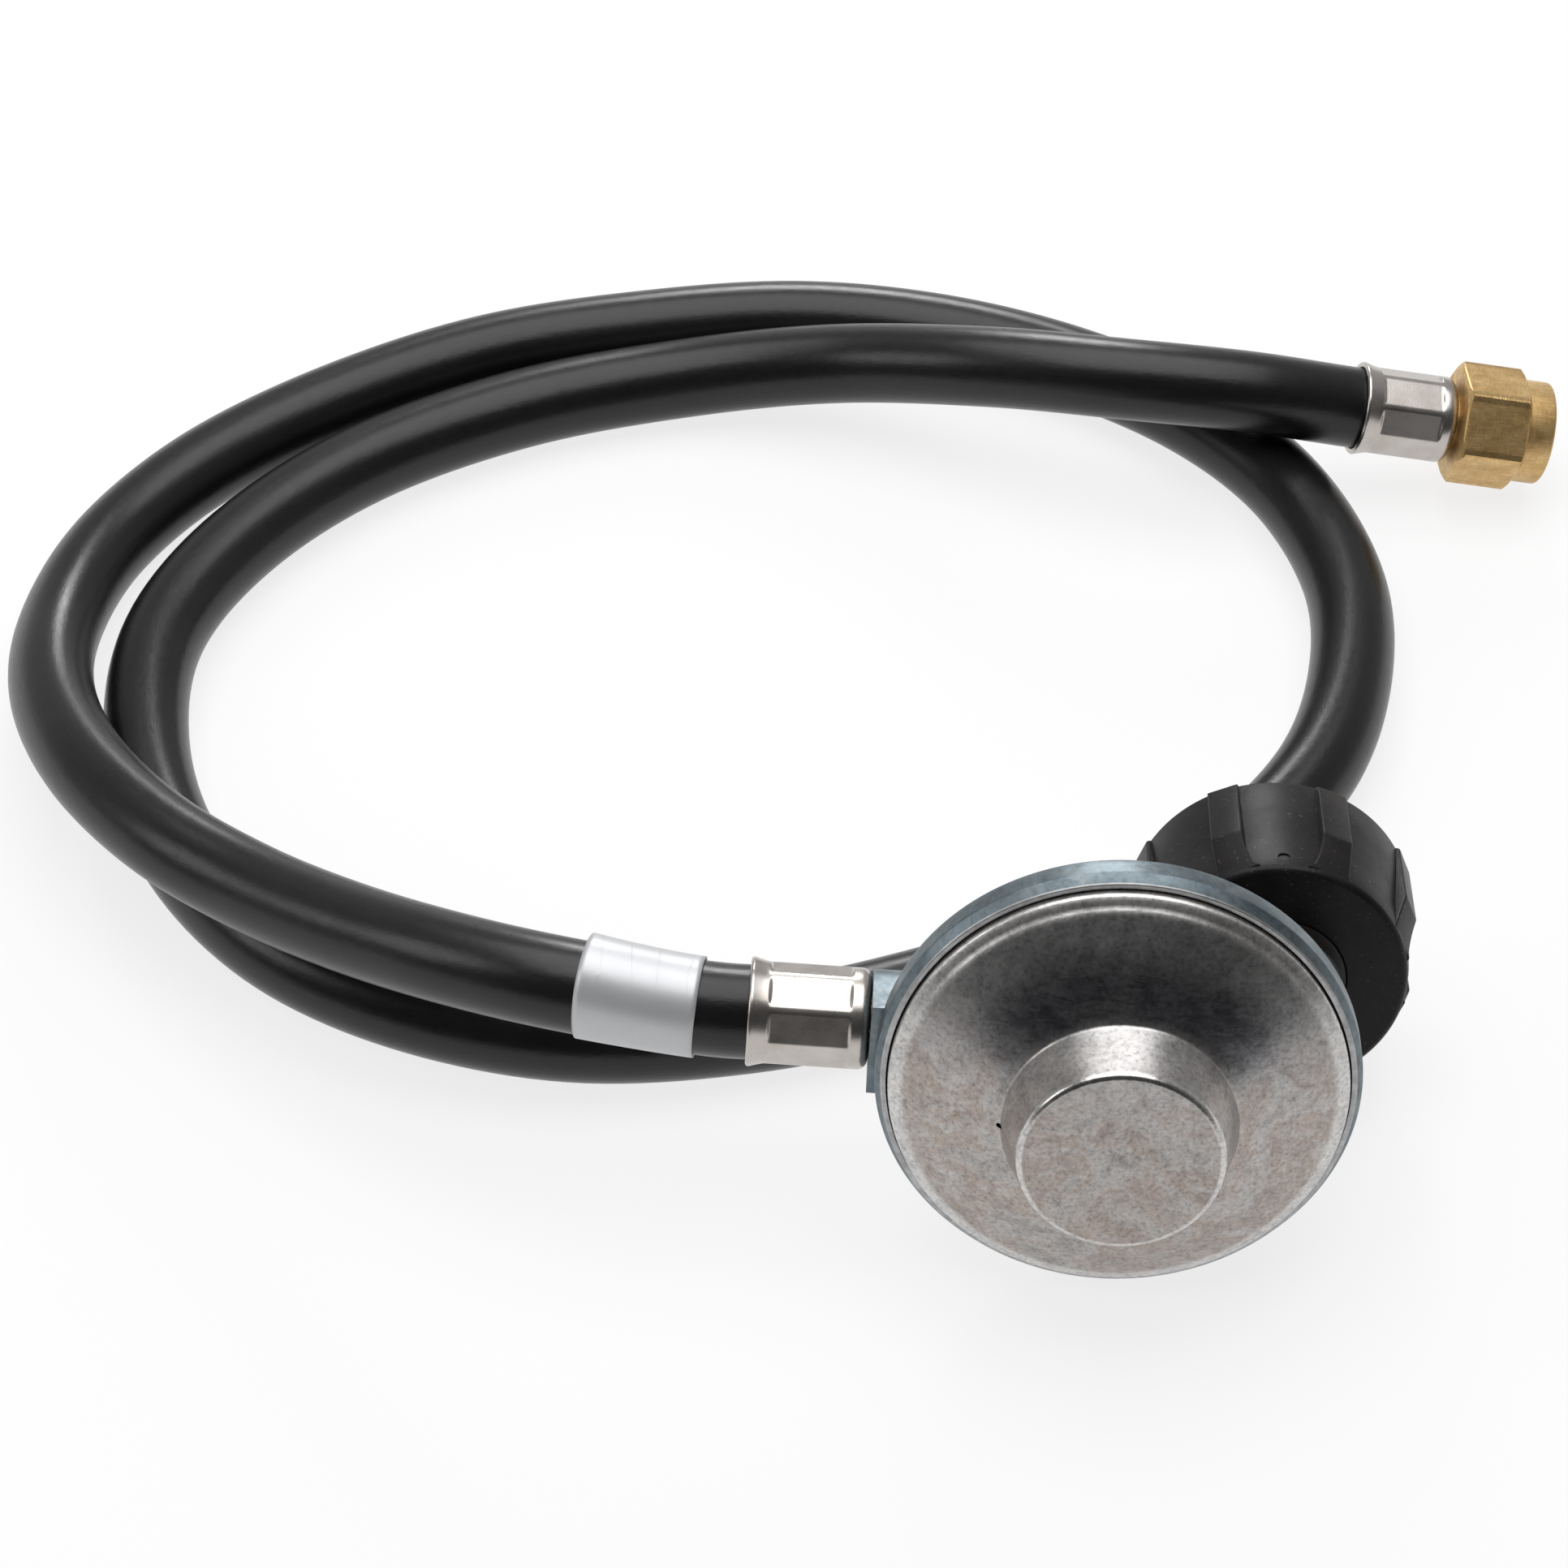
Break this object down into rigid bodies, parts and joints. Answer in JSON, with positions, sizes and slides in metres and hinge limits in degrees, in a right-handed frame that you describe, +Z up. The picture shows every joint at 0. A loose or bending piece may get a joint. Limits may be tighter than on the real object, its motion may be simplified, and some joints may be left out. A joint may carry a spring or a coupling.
{
  "type": "propane regulator hose",
  "caption": "Low pressure gas regulator with a lobed coupling nut, a coiled black rubber hose and a brass flare swivel nut.",
  "frame": {"origin": "on the table, under the middle of the regulator's own box (hose and its fittings left out)", "axes": "+Z up; the regulator's bonnet looks along -Y and leans back; +X points from the hose outlet across the regulator to the inlet side, along its longest extent"},
  "size_m": [0.2676, 0.2431, 0.0706],
  "materials": {
    "zinc_body": "satin die-cast zinc",
    "zinc_bonnet": "satin die-cast zinc",
    "nickel": "bright nickel plate",
    "steel": "bright zinc-plated steel",
    "spring_steel": "drawn wire",
    "brass": "machined",
    "hose_rubber": "semi-gloss",
    "seal_rubber": "matt",
    "nut_plastic": "moulded, semi-matt",
    "bushing_plastic": "moulded",
    "poppet_plastic": "acetal",
    "foil": "bare silver foil"
  },
  "bodies": {
    "regulator": {"body_casting": "zinc_body", "bonnet": "zinc_bonnet", "tower_cap": "zinc_bonnet", "adjuster_disc": "zinc_body", "diaphragm": "seal_rubber", "main_spring": "spring_steel", "lever_pin": "steel", "orifice": "brass", "inlet_nipple": "brass", "nose_seal": "seal_rubber", "thermal_bushing": "bushing_plastic", "check_cage": "brass", "check_spring": "spring_steel", "outlet_barb": "brass", "regulator_ferrule": "nickel", "hose": "hose_rubber", "label_band": "foil", "flare_ferrule": "nickel", "flare_tail": "brass"},
    "coupling": {"coupling_nut": "nut_plastic"},
    "flare": {"flare_nut": "brass"},
    "post": {"diaphragm_post": "brass", "relief_washer": "steel", "relief_spring": "spring_steel"},
    "plate": {"diaphragm_plate": "steel"},
    "lever": {"valve_lever": "steel", "seat_pad": "seal_rubber"},
    "poppet": {"check_poppet": "poppet_plastic"}
  },
  "joints": [
    {"name": "coupling_nut_spin", "type": "hinge", "parent": "regulator", "child": "coupling", "pos_m": [0.02071, 0.02328, 0.02402], "axis": [0.0405, 0.9665, -0.2534], "continuous": true},
    {"name": "flare_nut_spin", "type": "hinge", "parent": "regulator", "child": "flare", "pos_m": [0.06955, 0.15915, 0.01294], "axis": [0.9816, 0.0184, -0.1902], "continuous": true},
    {"name": "diaphragm_stroke", "type": "slide", "parent": "regulator", "child": "post", "axis": [-0.0405, -0.9665, 0.2534], "range_m": [-0.0008, 0.0015], "stiffness_N_per_m": 400, "deforming": ["diaphragm", "main_spring"]},
    {"name": "relief_lift", "type": "slide", "parent": "post", "child": "plate", "axis": [-0.0405, -0.9665, 0.2534], "range_m": [0, 0.0008], "stiffness_N_per_m": 400, "deforming": ["relief_spring", "main_spring"]},
    {"name": "valve_lever_tilt", "type": "hinge", "parent": "regulator", "child": "lever", "pos_m": [0.01334, -0.00927, 0.03288], "axis": [0.0542, 0.2511, 0.9665], "range_deg": [-2.5, 4.6]},
    {"name": "check_poppet_slide", "type": "slide", "parent": "regulator", "child": "poppet", "axis": [-0.0405, -0.9665, 0.2534], "range_m": [0, 0.002], "stiffness_N_per_m": 100, "deforming": ["check_spring"]}
  ],
  "couplings": [
    {"joint": "valve_lever_tilt", "follows": "diaphragm_stroke", "rad_per_m": 52.63}
  ]
}
